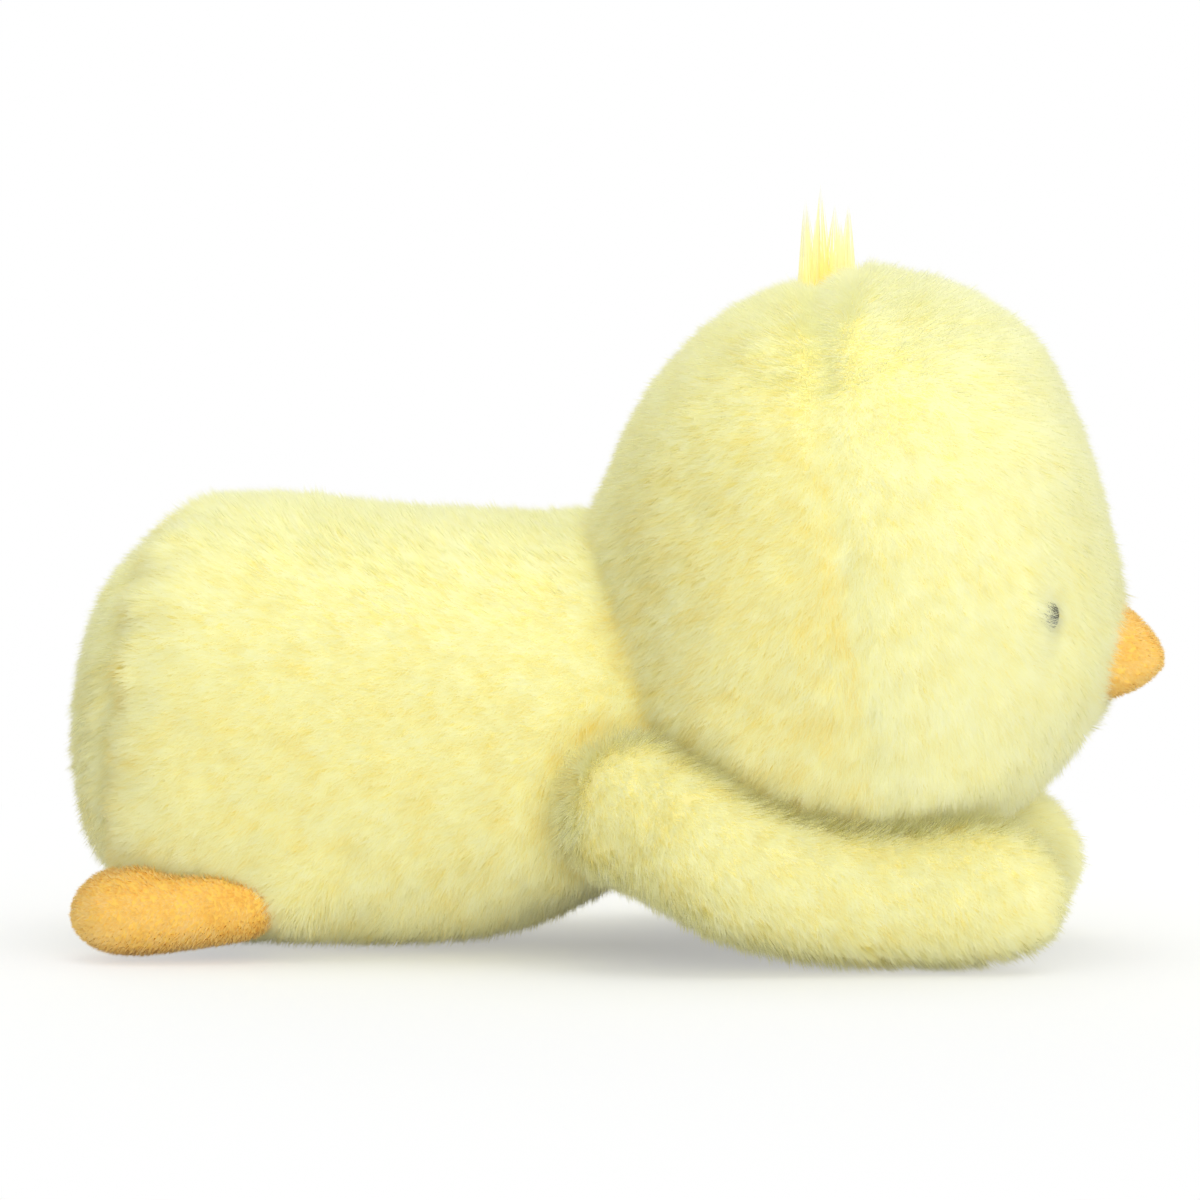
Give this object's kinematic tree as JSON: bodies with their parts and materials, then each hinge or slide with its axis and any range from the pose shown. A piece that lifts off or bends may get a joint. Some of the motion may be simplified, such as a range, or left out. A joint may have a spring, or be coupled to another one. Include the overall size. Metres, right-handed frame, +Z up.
{
  "type": "plush chick",
  "caption": "Stuffed plush chick lying on its belly, with a large round head resting on forward-folded wings, a soft beak, a crown tuft and flat feet pointing back.",
  "frame": {"origin": "centre of the bounding box on the floor under the belly", "axes": "+X from the rump to the beak, +Y to the chick's left, +Z up"},
  "size_m": [0.4, 0.206, 0.2728],
  "materials": {
    "yellow_plush": "pale yellow plush with a pile of about 8 mm",
    "orange_plush": "orange short-pile plush",
    "tuft_pile": "deeper yellow long pile with pale tips",
    "fibre_fill": "white polyester fibre fill",
    "pouch_cloth": "plain woven bag filled with pellets",
    "eye_plastic": "polished black",
    "washer_plastic": "moulded white"
  },
  "bodies": {
    "body": {"body_cover": "yellow_plush", "rump_panel": "yellow_plush", "body_stuffing": "fibre_fill", "pellet_pouch": "pouch_cloth"},
    "head": {"head_back_cover": "yellow_plush", "face_cover": "yellow_plush", "head_stuffing": "fibre_fill", "crown_tuft": "tuft_pile", "beak_cover": "orange_plush", "beak_stuffing": "fibre_fill", "eye_left": "eye_plastic", "eye_right": "eye_plastic", "eye_washer_left": "washer_plastic", "eye_washer_right": "washer_plastic"},
    "wing_left": {"wing_cover_left": "yellow_plush", "wing_stuffing_left": "fibre_fill"},
    "wing_right": {"wing_cover_right": "yellow_plush", "wing_stuffing_right": "fibre_fill"},
    "foot_left": {"foot_cover_left": "orange_plush", "foot_stuffing_left": "fibre_fill"},
    "foot_right": {"foot_cover_right": "orange_plush", "foot_stuffing_right": "fibre_fill"}
  },
  "joints": [
    {"name": "head_lift", "type": "hinge", "parent": "body", "child": "head", "pos_m": [-0.008, 0, 0.1585], "axis": [0, -1, 0], "range_deg": [0, 15]},
    {"name": "wing_left_swing", "type": "hinge", "parent": "body", "child": "wing_left", "pos_m": [-0.009, 0.074, 0.05], "axis": [0, 0, 1], "range_deg": [0, 50], "stiffness_Nm_per_rad": 0.05},
    {"name": "wing_right_swing", "type": "hinge", "parent": "body", "child": "wing_right", "pos_m": [-0.009, -0.074, 0.05], "axis": [0, 0, -1], "range_deg": [0, 50], "stiffness_Nm_per_rad": 0.05},
    {"name": "foot_left_splay", "type": "hinge", "parent": "body", "child": "foot_left", "pos_m": [-0.113, 0.073, 0.02], "axis": [0, 0, -1], "range_deg": [0, 30], "stiffness_Nm_per_rad": 0.02},
    {"name": "foot_right_splay", "type": "hinge", "parent": "body", "child": "foot_right", "pos_m": [-0.113, -0.073, 0.02], "axis": [0, 0, 1], "range_deg": [0, 30], "stiffness_Nm_per_rad": 0.02}
  ]
}
